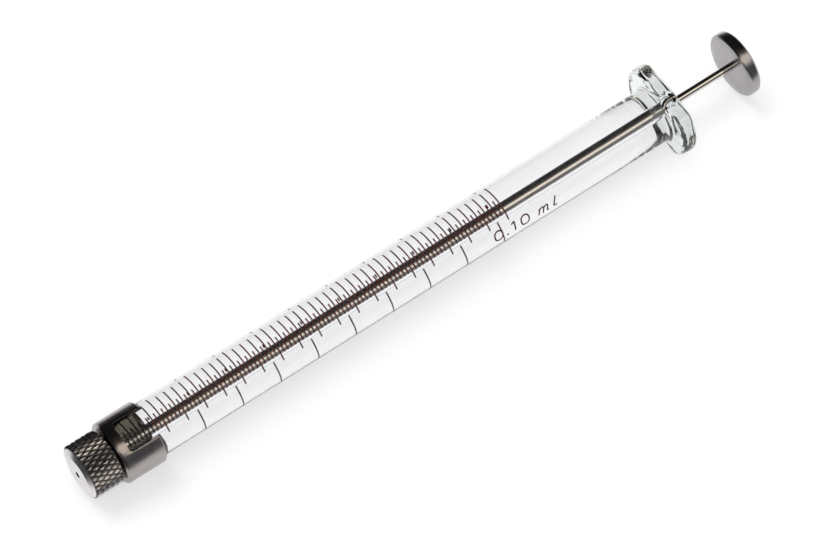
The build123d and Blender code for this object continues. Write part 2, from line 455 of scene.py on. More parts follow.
def nut_material(colour):
    """Plated nut, dull at the bottom of its grooves and in its needle hole, where painted shade darkens it.
    """
    material = metal_material("nut_plating", colour, 0.20, 9.0, 0.004)
    tree, shader = material_parts(material)
    # Painted shade: the bottoms of the knurl's grooves and the needle hole are darkened.
    deep = use_group(tree, "radius", Radius_mm=NUT_RADIUS - 0.08, Soft_mm=0.15)
    knurled = use_group(tree, "band", From_mm=0.36, To_mm=NUT_LENGTH, Soft_mm=0.05)
    wall = use_group(tree, "radius", Radius_mm=NUT_RADIUS - 0.35, Soft_mm=0.02)
    groove = math_node(tree, "MULTIPLY", deep.outputs["Mask"], knurled.outputs["Mask"])
    groove = math_node(tree, "SUBTRACT", groove, wall.outputs["Mask"], clamp=True)
    hole = use_group(tree, "radius", Radius_mm=NEEDLE_HOLE + 0.06, Soft_mm=0.03)
    painted_shade_mask = math_node(tree, "MAXIMUM", groove, hole.outputs["Mask"])
    painted_shade_share = math_node(tree, "MULTIPLY", painted_shade_mask, 0.93)
    dark = mix_colours(tree, painted_shade_share, feeding(shader, "Base Color"), PAINTED_GROOVE_SHADE)
    tree.links.new(dark, shader.inputs["Base Color"])
    rough = math_node(tree, "MULTIPLY_ADD", painted_shade_mask, 0.25, third=feeding(shader, "Roughness"))
    tree.links.new(rough, shader.inputs["Roughness"])
    return material


def rod_material(colour):
    """Steel rod: the piston is lapped to a satin, and the stem behind it is bright."""
    material = metal_material("ground_rod", colour, 0.06, 20.0, 0.0006, 0.05)
    tree, shader = material_parts(material)
    lapped = use_group(tree, "band", From_mm=ZERO_MARK, To_mm=STEM_FRONT + 0.05, Soft_mm=0.05)
    satin = math_node(tree, "MULTIPLY_ADD", lapped.outputs["Mask"], 0.07, third=feeding(shader, "Roughness"))
    tree.links.new(satin, shader.inputs["Roughness"])
    return material


def seal_material(colour):
    """Turned seal plastic, with painted shade that darkens the hole that needles pass through."""
    material = plastic_material("seal_plastic", colour, 0.38, 8.0)
    tree, shader = material_parts(material)
    # Painted shade in the hole that needles pass through.
    hole = use_group(tree, "radius", Radius_mm=SEAL_FUNNEL + 0.03, Soft_mm=0.08)
    hole_shade_share = math_node(tree, "MULTIPLY", hole.outputs["Mask"], 0.9)
    hole_shaded_colour = mix_colours(tree, hole_shade_share, feeding(shader, "Base Color"), PAINTED_HOLE_SHADE)
    tree.links.new(hole_shaded_colour, shader.inputs["Base Color"])
    return material


def glass_material(colour):
    """Clear drawn glass, greener in the thick flange, whose front end is ground and frosted."""
    material, tree, shader = new_material("barrel_glass")
    shader.inputs["Metallic"].default_value = 0.0
    shader.inputs["Transmission Weight"].default_value = 1.0
    shader.inputs["IOR"].default_value = 1.474
    handling = use_group(tree, "handling", Smudge_size_mm=9.0)
    front = use_group(tree, "band", From_mm=BARREL_FRONT - 1.0, To_mm=BARREL_FRONT + 0.03, Soft_mm=0.02)
    grey = tuple(0.985 * c for c in colour)
    tint = mix_colours(tree, handling.outputs["Smudge"], colour, grey)
    wings = use_group(tree, "band", From_mm=FLANGE_FRONT - 0.6, To_mm=FLANGE_BACK + 1.0, Soft_mm=0.8)
    tinted = mix_colours(tree, wings.outputs["Mask"], tint, FLANGE_TINT)
    tree.links.new(tinted, shader.inputs["Base Color"])
    film = math_node(tree, "MULTIPLY", handling.outputs["Smudge"], 0.006)
    ground = math_node(tree, "MULTIPLY", front.outputs["Mask"], 0.35)
    tree.links.new(math_node(tree, "ADD", film, ground), shader.inputs["Roughness"])
    place = add_node(tree, "ShaderNodeTexCoord").outputs["Object"]
    drawn = add_node(tree, "ShaderNodeMapping", [("Vector", place), ("Scale", (0.02, 1.0, 1.0))])
    noise = add_node(tree, "ShaderNodeTexNoise", [
        ("Vector", drawn.outputs[0]), ("Scale", 0.5 / MM), ("Detail", 1.0)])
    add_bump(tree, shader, noise.outputs[0], 0.25, 0.004)
    output = next(node for node in tree.nodes if node.type == "OUTPUT_MATERIAL")
    clear = add_node(tree, "ShaderNodeBsdfTransparent", [("Color", (0.90, 0.91, 0.91, 1.0))])
    path = add_node(tree, "ShaderNodeLightPath")
    mix = add_node(tree, "ShaderNodeMixShader", [
        (0, path.outputs["Is Shadow Ray"]), (1, shader.outputs[0]), (2, clear.outputs[0])])
    tree.links.new(mix.outputs[0], output.inputs[0])
    return material


def enamel_material(colour):
    """Fired enamel: red-brown and slightly uneven, with painted shade that makes it nearly black inside the
    hub, over its painted dark film.
    """
    material, tree, shader = new_material("scale_enamel")
    place = add_node(tree, "ShaderNodeTexCoord").outputs["Object"]
    noise = add_node(tree, "ShaderNodeTexNoise", [("Vector", place), ("Scale", 4.0 / MM), ("Detail", 4.0)])
    dark = tuple(0.55 * c for c in colour)
    light = tuple(1.6 * c for c in colour)
    fired = ramp_node(tree, noise.outputs[0], [(0.35, dark), (0.5, colour), (0.7, light)])
    # Painted shade: inside the hub the enamel is painted nearly black.
    painted_shade_band = use_group(tree, "band", From_mm=BARREL_FRONT, To_mm=HUB_BACK, Soft_mm=0.1)
    shown = mix_colours(tree, painted_shade_band.outputs["Mask"], fired, ENAMEL_PAINTED_SHADE)
    tree.links.new(shown, shader.inputs["Base Color"])
    gloss = add_node(tree, "ShaderNodeMapRange", [(0, noise.outputs[0]), (3, 0.38), (4, 0.62)])
    tree.links.new(gloss.outputs[0], shader.inputs["Roughness"])
    shader.inputs["Specular IOR Level"].default_value = 0.15
    add_bump(tree, shader, noise.outputs[0], 0.5, 0.006)
    return material


def bead_material():
    """Dark brown cured adhesive, uneven in colour and gloss."""
    material, tree, shader = new_material("cured_adhesive")
    handling = use_group(tree, "handling", Smudge_size_mm=0.7, Pit_size_mm=0.1)
    brown = mix_colours(tree, handling.outputs["Smudge"], *ADHESIVE_BEAD)
    tree.links.new(brown, shader.inputs["Base Color"])
    rough = math_node(tree, "MULTIPLY_ADD", handling.outputs["Smudge"], 0.2, third=0.25)
    tree.links.new(rough, shader.inputs["Roughness"])
    add_bump(tree, shader, handling.outputs["Smudge"], 0.4, 0.01)
    return material


def plastic_material(name, colour, roughness, rings):
    """Turned fluoroplastic, slightly waxy, with faint tool rings and grey specks."""
    material, tree, shader = new_material(name)
    turning = use_group(tree, "turning", Rings_per_mm=rings)
    handling = use_group(tree, "handling", Smudge_size_mm=0.8, Pit_size_mm=0.12)
    specked = mix_colours(tree, handling.outputs["Pits"], colour, tuple(0.72 * c for c in colour))
    tree.links.new(specked, shader.inputs["Base Color"])
    rough = math_node(tree, "MULTIPLY", turning.outputs["Mask"], 0.12)
    tree.links.new(math_node(tree, "ADD", rough, roughness), shader.inputs["Roughness"])
    add_bump(tree, shader, turning.outputs["Height"], 0.6, 0.01)
    return material


# ---------------------------------------------------------------- mesh helpers

def new_object(name, mesh, material):
    """Object at the origin for a finished mesh."""
    piece = bpy.data.objects.new(name, mesh)
    bpy.context.scene.collection.objects.link(piece)
    mesh.materials.clear()
    mesh.materials.append(material)
    return piece


def skin_rings(work, rings, closed):
    """Walls between each ring of points and the next, round to the first or with two end caps."""
    sides = len(rings[0])
    for index in range(len(rings) if closed else len(rings) - 1):
        here, there = rings[index], rings[(index + 1) % len(rings)]
        for step in range(sides):
            after = (step + 1) % sides
            work.faces.new((here[step], here[after], there[after], there[step]))
    if not closed:
        work.faces.new(rings[0])
        work.faces.new(list(reversed(rings[-1])))


def finish_mesh(work, sharp_degrees):
    """Merges doubles, points the faces outwards and marks the sharp edges."""
    bmesh.ops.remove_doubles(work, verts=work.verts, dist=0.0005 * MM)
    bmesh.ops.dissolve_degenerate(work, dist=0.0002 * MM, edges=work.edges)
    bmesh.ops.recalc_face_normals(work, faces=work.faces)
    limit = math.radians(sharp_degrees)
    for face in work.faces:
        face.smooth = True
    for edge in work.edges:
        edge.smooth = not (edge.is_manifold and edge.calc_face_angle(0.0) > limit)


def write_mesh(work, mesh, sharp_degrees):
    """Finishes the work and writes it into a mesh."""
    finish_mesh(work, sharp_degrees)
    work.to_mesh(mesh)
    work.free()
    return mesh


def ring_point(x, radius, angle):
    """Point in metres at an angle round the axis, in radians from +Z towards -Y."""
    return Vector((x * MM, -radius * MM * math.sin(angle), radius * MM * math.cos(angle)))


def outline_radius(angle, inset):
    """Radius of the flange's outline, moved inwards by an inset, at an angle from the flats' normal."""
    radius = FLANGE_RADIUS - inset
    flat = FLANGE_HALF_HEIGHT - inset
    corner = max(FLANGE_CORNER - inset, 0.0)
    turn = abs(math.remainder(angle, math.pi))
    height = flat - corner
    span = math.sqrt(max((radius - corner) ** 2 - height ** 2, 0.0))
    direction = (math.sin(turn), math.cos(turn))
    along = span * direction[0] + height * direction[1]
    away = span * direction[1] - height * direction[0]
    if turn <= math.atan2(span, flat):
        return flat / direction[1]
    arc_end = math.atan2(span / (radius - corner), height / (radius - corner))
    if turn >= arc_end or corner == 0.0:
        return radius
    return along + math.sqrt(max(corner ** 2 - away ** 2, 0.0))


def pressed_point(x, radius, angle):
    """Point of the barrel's section with the slight waves that pressing leaves in the flange."""
    fade_from = BARREL_RADIUS + 0.15
    fade = 0.5 * FLANGE_THICKNESS
    share = min(max((radius - fade_from) / fade, 0.0), 1.0)
    if share == 0.0:
        return x, radius
    place = Vector((x, radius * math.sin(angle), radius * math.cos(angle)))
    wave = 0.5 + 0.5 * noise_at(0.55 * place)
    ripple = 0.5 + 0.5 * noise_at(1.3 * place + Vector((7.0, 0.0, 0.0)))
    middle = 0.5 * (FLANGE_FRONT + FLANGE_BACK)
    inwards = max(min((middle - x) / fade, 1.0), -1.0)
    thinner = share * inwards * (0.22 * wave + 0.05 * ripple)
    lower = share * (0.12 * wave + 0.03 * ripple)
    return x + thinner, radius - lower


def between(first, second, share):
    """Value at a share of the way from one to another."""
    return first + (second - first) * share


def tube_front():
    """Section of the barrel's ground front end and of the tube up to the flange's root."""
    ease = 0.12
    section = [(BARREL_FRONT, BORE_RADIUS), (BARREL_FRONT, 0.5 * (BORE_RADIUS + BARREL_RADIUS)),
               (BARREL_FRONT, BARREL_RADIUS - ease), (BARREL_FRONT + 0.035, BARREL_RADIUS - 0.035),
               (BARREL_FRONT + ease, BARREL_RADIUS)]
    root = FLANGE_FRONT - FLANGE_ROOT
    steps = 12
    section += [(between(BARREL_FRONT + ease, root, step / steps), BARREL_RADIUS)
                for step in range(1, steps + 1)]
    return section


def flange_section(angle):
    """Section of the flange, up its front, over its rounded edge and round to its back face."""
    top = outline_radius(angle, 0.0)
    inner = outline_radius(angle, FLANGE_EDGE)
    foot = BARREL_RADIUS + FLANGE_ROOT
    section = []
    steps = 26
    for step in range(1, steps + 1):
        radius = between(BARREL_RADIUS, top, math.sin(0.5 * math.pi * step / steps))
        root = FLANGE_ROOT - math.sqrt(max(FLANGE_ROOT ** 2 - max(foot - radius, 0.0) ** 2, 0.0))
        share = min(max((radius - inner) / (top - inner), 0.0), 1.0)
        edge = FLANGE_EDGE * (1.0 - math.sqrt(1.0 - share ** 2))
        section.append((FLANGE_FRONT - root + edge, radius))
    front = FLANGE_FRONT + FLANGE_EDGE
    back = FLANGE_BACK - FLANGE_EDGE
    section += [(between(front, back, step / 4), top) for step in range(1, 4)]
    steps = 12
    for step in range(steps + 1):
        turn = 0.5 * math.pi * step / steps
        section.append((back + FLANGE_EDGE * math.sin(turn), between(inner, top, math.cos(turn))))
    return section


def bore_section(inner):
    """Section of the flange's back face, from where its round ends, the countersink and the bore."""
    ease = 0.03
    mouth = BORE_RADIUS + BORE_LEAD
    lead_end = FLANGE_BACK - BORE_LEAD
    section = [(FLANGE_BACK, between(inner, mouth + 2 * ease, step / 6)) for step in range(1, 7)]
    section += [(FLANGE_BACK - 0.025, mouth - 0.01), (lead_end + ease, BORE_RADIUS + ease),
                (lead_end - ease, BORE_RADIUS)]
    steps = 12
    section += [(between(lead_end - ease, BARREL_FRONT, step / steps), BORE_RADIUS)
                for step in range(1, steps)]
    return section


def barrel_section(angle):
    """Closed section of the barrel at an angle, as (x, radius) from the bore's front round to its back."""
    outside = [pressed_point(x, radius, angle) for x, radius in tube_front() + flange_section(angle)]
    return outside + bore_section(outline_radius(angle, FLANGE_EDGE))


def make_lathed_mesh(name, sections, sharp_degrees):
    """Closed mesh from one closed section for each angle, shaded smooth but for sharp edges."""
    work = bmesh.new()
    rings = []
    for index, section in enumerate(sections):
        angle = 2.0 * math.pi * index / len(sections)
        rings.append([work.verts.new(ring_point(x, radius, angle)) for x, radius in section])
    skin_rings(work, rings, True)
    return write_mesh(work, bpy.data.meshes.new(name), sharp_degrees)


def lathe_piece(name, outline, count, material):
    """Object turned from one closed outline of (x, radius) corners."""
    mesh = make_lathed_mesh(name, [outline] * count, SHARP_TURNED)
    return new_object(name, mesh, material)


def rounded(corner, before, after, size):
    """Points of a small round in place of a corner between two directions."""
    points = []
    steps = 4
    for step in range(steps + 1):
        turn = 0.5 * math.pi * step / steps
        back = size * (1.0 - math.sin(turn))
        on = size * (1.0 - math.cos(turn))
        points.append((corner[0] - before[0] * back + after[0] * on,
                       corner[1] - before[1] * back + after[1] * on))
    return points


def fit_window(place):
    """Moves the hub's back end backwards and widens its window at the lower edge, with a soft reach."""
    if place.x > (HUB_BACK - 1.0) * MM:
        place.x += HUB_BACK_SHIFT * MM
    radius = math.hypot(place.y, place.z)
    angle = math.degrees(math.atan2(-place.y, place.z))
    reach = 30.0 if angle < WINDOW_TO else 40.0
    pull = 1.0 - abs(angle - WINDOW_TO) / reach
    if place.x < BARREL_FRONT * MM or radius < SPIGOT_RADIUS * MM or pull <= 0.0:
        return
    turned = math.radians(angle + WINDOW_WIDENED * pull)
    place.y = -radius * math.sin(turned)
    place.z = radius * math.cos(turned)


def eased_copy(node_name, name, width, material, move):
    """Copy of a frame node, merged, with its points moved and its sharp edges eased."""
    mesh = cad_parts[node_name].data.copy()
    mesh.name = name
    work = bmesh.new()
    work.from_mesh(mesh)
    finish_mesh(work, SHARP_TURNED)
    for vert in work.verts:
        move(vert.co)
    work.to_mesh(mesh)
    work.free()
    maker = bpy.data.objects.new(name + "_maker", mesh)
    bpy.context.scene.collection.objects.link(maker)
    ease = maker.modifiers.new("ease", "BEVEL")
    ease.width = width * MM
    ease.segments = 2
    ease.limit_method = "ANGLE"
    ease.angle_limit = math.radians(28.0)
    ease.use_clamp_overlap = True
    graph = bpy.context.evaluated_depsgraph_get()
    eased = bpy.data.meshes.new_from_object(maker.evaluated_get(graph))
    bpy.data.objects.remove(maker)
    work = bmesh.new()
    work.from_mesh(eased)
    eased.name = name
    return new_object(name, write_mesh(work, eased, SHARP_EASED), material)


def stroke_rings(points, closed, width):
    """Cross-sections of a stroke drawn on the glass, from (x, arc length) points in millimetres."""
    dense = []
    count = len(points) if closed else len(points) - 1
    for index in range(count):
        first, second = points[index], points[(index + 1) % len(points)]
        steps = max(1, round(math.dist(first, second) / 0.12))
        for step in range(steps):
            share = step / steps
            dense.append((between(first[0], second[0], share), between(first[1], second[1], share)))
    if not closed:
        dense.append(points[-1])
    rings = []
    for index, (along, arc) in enumerate(dense):
        before = dense[index - 1] if index > 0 or closed else dense[0]
        after = dense[(index + 1) % len(dense)] if index < len(dense) - 1 or closed else dense[-1]
        direction = Vector((after[0] - before[0], after[1] - before[1])).normalized()
        ends = index in (0, len(dense) - 1) and not closed
        half = 0.5 * width * (0.62 if ends else 1.0)
        side = Vector((-direction.y, direction.x)) * half
        rings.append([(along - side.x, arc - side.y), (along + side.x, arc + side.y)])
    return rings


def make_strokes_mesh(name, strokes, width, stand, sink):
    """Mesh of strokes of enamel that follow the glass, each given as (points, closed)."""
    work = bmesh.new()
    low, high = BARREL_RADIUS - sink, BARREL_RADIUS + stand
    for points, closed in strokes:
        rings = []
        for (left, right) in stroke_rings(points, closed, width):
            ring = []
            for radius, (along, arc) in ((low, left), (low, right), (high, right), (high, left)):
                ring.append(work.verts.new(ring_point(along, radius, arc / BARREL_RADIUS)))
            rings.append(ring)
        skin_rings(work, rings, closed)
    return write_mesh(work, bpy.data.meshes.new(name), SHARP_ENAMEL)


def oval(centre, half_width, half_height, count=32):
    """Points of a closed oval of (x, arc length)."""
    points = []
    for index in range(count):
        turn = 2.0 * math.pi * index / count
        across = math.copysign(abs(math.cos(turn)) ** 0.85, math.cos(turn))
        down = math.copysign(abs(math.sin(turn)) ** 0.85, math.sin(turn))
        points.append((centre[0] + half_width * across, centre[1] + half_height * down))
    return points


def volume_strokes():
    """The generic capacity lettering of 0.10 ml, as strokes of (x, arc length) in millimetres."""
    return [
        (oval((64.37, 4.47), 0.62, 0.77), True),
        (oval((65.72, 5.17), 0.045, 0.045, 10), True),
        ([(66.48, 3.98), (66.74, 3.87), (66.98, 3.70), (66.98, 5.28)], False),
        (oval((68.63, 4.48), 0.62, 0.77), True),
        ([(70.99, 4.22), (70.74, 5.29)], False),
        ([(70.92, 4.52), (71.14, 4.29), (71.42, 4.20), (71.62, 4.30), (71.62, 4.52), (71.44, 5.29)], False),
        ([(71.62, 4.52), (71.84, 4.29), (72.10, 4.20), (72.29, 4.31), (72.28, 4.54), (72.12, 5.08),
          (72.20, 5.24), (72.42, 5.20)], False),
        ([(73.70, 3.67), (73.21, 4.94), (73.27, 5.16), (73.46, 5.20), (73.72, 5.06)], False),
    ]


# ---------------------------------------------------------------- geometry node helpers

def new_geometry_tree(name, inputs):
    """Geometry Nodes tree with named inputs as (name, socket kind, default)."""
    tree = bpy.data.node_groups.new(name, "GeometryNodeTree")
    tree.is_modifier = True
    tree.interface.new_socket("Geometry", in_out="INPUT", socket_type="NodeSocketGeometry")
    for label, kind, default in inputs:
        socket = tree.interface.new_socket(label, in_out="INPUT", socket_type=kind)
        socket.default_value = default
    tree.interface.new_socket("Geometry", in_out="OUTPUT", socket_type="NodeSocketGeometry")
    return tree, tree.nodes.new("NodeGroupInput"), tree.nodes.new("NodeGroupOutput")


def end_tree(tree, leave, geometry, material):
    """Ends a tree in Realize Instances and Set Material."""
    realize = add_node(tree, "GeometryNodeRealizeInstances", [(0, geometry)])
    paint = add_node(tree, "GeometryNodeSetMaterial", [
        ("Geometry", realize.outputs[0]), ("Material", material)])
    tree.links.new(paint.outputs[0], leave.inputs[0])


def bake_tree(name, tree, values, material, sharp_degrees):
    """Runs a tree with its inputs set, and returns its result as a plain object."""
    holder = bpy.data.objects.new(name + "_maker", bpy.data.meshes.new(name + "_maker"))
    bpy.context.scene.collection.objects.link(holder)
    modifier = holder.modifiers.new("maker", "NODES")
    modifier.node_group = tree
    for item in tree.interface.items_tree:
        if item.in_out == "INPUT" and item.name in values:
            modifier[item.identifier] = values[item.name]
    graph = bpy.context.evaluated_depsgraph_get()
    mesh = bpy.data.meshes.new_from_object(holder.evaluated_get(graph))
    holder.modifiers.remove(modifier)
    bpy.data.objects.remove(holder)
    mesh.name = name
    work = bmesh.new()
    work.from_mesh(mesh)
    return new_object(name, write_mesh(work, mesh, sharp_degrees), material)


def set_places(tree, geometry, places):
    """Geometry whose points are moved to new places."""
    moved = add_node(tree, "GeometryNodeSetPosition", [("Geometry", geometry), ("Position", places)])
    return moved.outputs[0]


def close_seam(tree, geometry):
    """Geometry whose two meeting edges are merged."""
    merged = add_node(tree, "GeometryNodeMergeByDistance", [
        ("Geometry", geometry), ("Distance", 0.0008 * MM)])
    return merged.outputs[0]


def add_line_set(tree, entry, first, count, low, high, segments):
    """Curved strips round the glass: one every ten divisions, between two angles."""
    start = math_node(tree, "MULTIPLY", entry.outputs["Pitch"], first)
    start = math_node(tree, "ADD", start, entry.outputs["Empty mark"])
    stride = math_node(tree, "MULTIPLY", entry.outputs["Pitch"], 10)
    origin = add_node(tree, "ShaderNodeCombineXYZ", [(0, start)])
    offset = add_node(tree, "ShaderNodeCombineXYZ", [(0, stride)])
    points = add_node(tree, "GeometryNodeMeshLine", [
        ("Count", count), ("Start Location", origin.outputs[0]), ("Offset", offset.outputs[0])])
    thick = math_node(tree, "ADD", entry.outputs["Stand"], entry.outputs["Sink"])
    size = add_node(tree, "ShaderNodeCombineXYZ", [(0, entry.outputs["Width"]), (1, 1.0), (2, thick)])
    strip = add_node(tree, "GeometryNodeMeshCube", [
        ("Size", size.outputs[0]), ("Vertices X", 2), ("Vertices Y", segments), ("Vertices Z", 2)])
    place = add_node(tree, "GeometryNodeInputPosition")
    split = add_node(tree, "ShaderNodeSeparateXYZ", [(0, place.outputs[0])])
    share = math_node(tree, "ADD", split.outputs[1], 0.5)
    angle = math_node(tree, "MULTIPLY", share, math.radians(high - low))
    angle = math_node(tree, "ADD", angle, math.radians(low))
    half_way = math_node(tree, "SUBTRACT", entry.outputs["Stand"], entry.outputs["Sink"])
    half_way = math_node(tree, "MULTIPLY", half_way, 0.5)
    radius = math_node(tree, "ADD", entry.outputs["Radius"], half_way)
    radius = math_node(tree, "ADD", radius, split.outputs[2])
    across = math_node(tree, "MULTIPLY", radius, math_node(tree, "SINE", angle))
    across = math_node(tree, "MULTIPLY", across, -1.0)
    up = math_node(tree, "MULTIPLY", radius, math_node(tree, "COSINE", angle))
    bent = add_node(tree, "ShaderNodeCombineXYZ", [(0, split.outputs[0]), (1, across), (2, up)])
    wrapped = set_places(tree, strip.outputs[0], bent.outputs[0])
    spread = add_node(tree, "GeometryNodeInstanceOnPoints", [
        ("Points", points.outputs[0]), ("Instance", wrapped)])
    return spread.outputs[0]


def make_scale_tree(material, divisions):
    """Tree that lays the scale's lines round the glass."""
    tree, entry, leave = new_geometry_tree("scale_lines_tree", [
        ("Empty mark", "NodeSocketFloat", ZERO_MARK * MM),
        ("Pitch", "NodeSocketFloat", MICROLITRE * MM),
        ("Radius", "NodeSocketFloat", BARREL_RADIUS * MM),
        ("Width", "NodeSocketFloat", 0.18 * MM),
        ("Stand", "NodeSocketFloat", 0.014 * MM),
        ("Sink", "NodeSocketFloat", 0.012 * MM),
    ])
    tens = divisions // 10
    join = tree.nodes.new("GeometryNodeJoinGeometry")
    sets = [(10, TEN_END, LONG_START, 24), (10, *TEN_MARK, 9), (5, ODD_END, LONG_START, 14)]
    sets += [(first, EVEN_END, SHORT_START, 18) for first in (2, 4, 6, 8)]
    sets += [(first, ODD_END, SHORT_START, 10) for first in (1, 3, 7, 9)]
    for first, low, high, segments in sets:
        lines = add_line_set(tree, entry, first, tens, low, high, segments)
        tree.links.new(lines, join.inputs[0])
    end_tree(tree, leave, join.outputs[0], material)
    return tree


def make_knurl_tree(material):
    """Tree that folds a grid round the axis as a skin of diamonds, bevelled at both ends."""
    tree, entry, leave = new_geometry_tree("knurl_tree", [
        ("Length", "NodeSocketFloat", NUT_LENGTH * MM),
        ("Radius", "NodeSocketFloat", NUT_RADIUS * MM),
        ("Points", "NodeSocketFloat", 30.0),
        ("Rows", "NodeSocketFloat", 6.0),
        ("Depth", "NodeSocketFloat", 0.26 * MM),
        ("Unevenness", "NodeSocketFloat", 0.14),
        ("Bevel width", "NodeSocketFloat", 1.40 * MM),
        ("Bevel length", "NodeSocketFloat", 0.48 * MM),
        ("End chamfer", "NodeSocketFloat", NUT_CHAMFER * MM),
        ("Seed", "NodeSocketFloat", KNURL_SEED),
    ])
    sheet = add_node(tree, "GeometryNodeMeshGrid", [
        ("Size X", 1.0), ("Size Y", 1.0), ("Vertices X", KNURL_GRID[0]), ("Vertices Y", KNURL_GRID[1])])
    place = add_node(tree, "GeometryNodeInputPosition")
    split = add_node(tree, "ShaderNodeSeparateXYZ", [(0, place.outputs[0])])
    along = math_node(tree, "ADD", split.outputs[0], 0.5)
    round_share = math_node(tree, "ADD", split.outputs[1], 0.5)
    column = math_node(tree, "MULTIPLY", round_share, entry.outputs["Points"])
    row = math_node(tree, "MULTIPLY", along, math_node(tree, "MULTIPLY", entry.outputs["Rows"], 0.5))
    right = math_node(tree, "ADD", column, row)
    left = math_node(tree, "SUBTRACT", column, row)
    rise = math_node(
        tree, "MINIMUM", math_node(tree, "PINGPONG", right, 0.5), math_node(tree, "PINGPONG", left, 0.5))
    rise = math_node(tree, "MULTIPLY", rise, KNURL_STEEPNESS, clamp=True)
    right_cell = math_node(tree, "FLOORED_MODULO", math_node(tree, "FLOOR", right), entry.outputs["Points"])
    left_cell = math_node(tree, "FLOORED_MODULO", math_node(tree, "FLOOR", left), entry.outputs["Points"])
    cell = add_node(tree, "ShaderNodeCombineXYZ", [
        (0, right_cell), (1, left_cell), (2, entry.outputs["Seed"])])
    chance = add_node(tree, "ShaderNodeTexWhiteNoise", [("Vector", cell.outputs[0])], noise_dimensions="3D")
    loss = math_node(tree, "MULTIPLY", chance.outputs[0], entry.outputs["Unevenness"])
    rise = math_node(tree, "MULTIPLY", rise, math_node(tree, "SUBTRACT", 1.0, loss))
    fall = math_node(tree, "MULTIPLY", math_node(tree, "SUBTRACT", rise, 1.0), entry.outputs["Depth"])
    radius = math_node(tree, "ADD", entry.outputs["Radius"], fall)
    length = math_node(tree, "MULTIPLY", along, entry.outputs["Length"])
    slope = math_node(tree, "DIVIDE", entry.outputs["Bevel width"], entry.outputs["Bevel length"])
    nose = math_node(tree, "SUBTRACT", length, entry.outputs["Bevel length"])
    nose = math_node(tree, "MULTIPLY_ADD", nose, slope, third=entry.outputs["Radius"])
    tail = math_node(tree, "SUBTRACT", entry.outputs["Length"], length)
    tail = math_node(tree, "SUBTRACT", tail, entry.outputs["End chamfer"])
    tail = math_node(tree, "ADD", tail, entry.outputs["Radius"])
    radius = math_node(tree, "MINIMUM", radius, math_node(tree, "MINIMUM", nose, tail))
    turn = math_node(tree, "MULTIPLY", round_share, 2.0 * math.pi)
    across = math_node(tree, "MULTIPLY", radius, math_node(tree, "SINE", turn))
    up = math_node(tree, "MULTIPLY", radius, math_node(tree, "COSINE", turn))
    folded = add_node(tree, "ShaderNodeCombineXYZ", [(0, length), (1, across), (2, up)])
    skin = set_places(tree, sheet.outputs[0], folded.outputs[0])
    end_tree(tree, leave, close_seam(tree, skin), material)
    return tree


def make_thread_tree(material):
    """Tree that winds a strip round the axis as a right-hand thread which runs out at both ends.

    The strip has four lanes, two for the root and two for the crest, that close into a ridge.
    """
    tree, entry, leave = new_geometry_tree("thread_tree", [
        ("Start", "NodeSocketFloat", THREAD_START * MM),
        ("Turns", "NodeSocketFloat", THREAD_TURNS),
        ("Pitch", "NodeSocketFloat", THREAD_PITCH * MM),
        ("Root radius", "NodeSocketFloat", SPIGOT_RADIUS * MM),
        ("Height", "NodeSocketFloat", THREAD_HEIGHT * MM),
    ])
    strip = add_node(tree, "GeometryNodeMeshGrid", [
        ("Size X", 1.0), ("Size Y", 4.0), ("Vertices X", 72 * THREAD_TURNS + 1), ("Vertices Y", 5)])
    place = add_node(tree, "GeometryNodeInputPosition")
    split = add_node(tree, "ShaderNodeSeparateXYZ", [(0, place.outputs[0])])
    share = math_node(tree, "ADD", split.outputs[0], 0.5)
    lane = math_node(tree, "ROUND", math_node(tree, "ADD", split.outputs[1], 2.0))
    lane = math_node(tree, "FLOORED_MODULO", lane, 4.0)
    steepness = 14.0
    before = math_node(tree, "MULTIPLY", share, steepness)
    after = math_node(tree, "MULTIPLY", math_node(tree, "SUBTRACT", 1.0, share), steepness)
    runout = math_node(tree, "MINIMUM", math_node(tree, "MINIMUM", before, after), 1.0)
    crest = math_node(tree, "COMPARE", lane, 1.5, third=0.6)
    side = math_node(tree, "GREATER_THAN", lane, 1.5)
    side = math_node(tree, "MULTIPLY_ADD", side, 2.0, third=-1.0)
    root_half, crest_half = 0.42, 0.06         # half widths, as shares of the pitch
    half = math_node(tree, "MULTIPLY_ADD", crest, crest_half - root_half, third=root_half)
    half = math_node(tree, "MULTIPLY", math_node(tree, "MULTIPLY", half, entry.outputs["Pitch"]), runout)
    turns = math_node(tree, "MULTIPLY", share, entry.outputs["Turns"])
    along = math_node(tree, "MULTIPLY_ADD", turns, entry.outputs["Pitch"], third=entry.outputs["Start"])
    along = math_node(tree, "MULTIPLY_ADD", half, side, third=along)
    lifted = math_node(tree, "MULTIPLY", math_node(tree, "MULTIPLY", crest, entry.outputs["Height"]), runout)
    radius = math_node(tree, "ADD", lifted, entry.outputs["Root radius"])
    turn = math_node(tree, "MULTIPLY", turns, 2.0 * math.pi)
    across = math_node(tree, "MULTIPLY", radius, math_node(tree, "COSINE", turn))
    up = math_node(tree, "MULTIPLY", radius, math_node(tree, "SINE", turn))
    wound = add_node(tree, "ShaderNodeCombineXYZ", [(0, along), (1, across), (2, up)])
    ridge = set_places(tree, strip.outputs[0], wound.outputs[0])
    end_tree(tree, leave, close_seam(tree, ridge), material)
    return tree


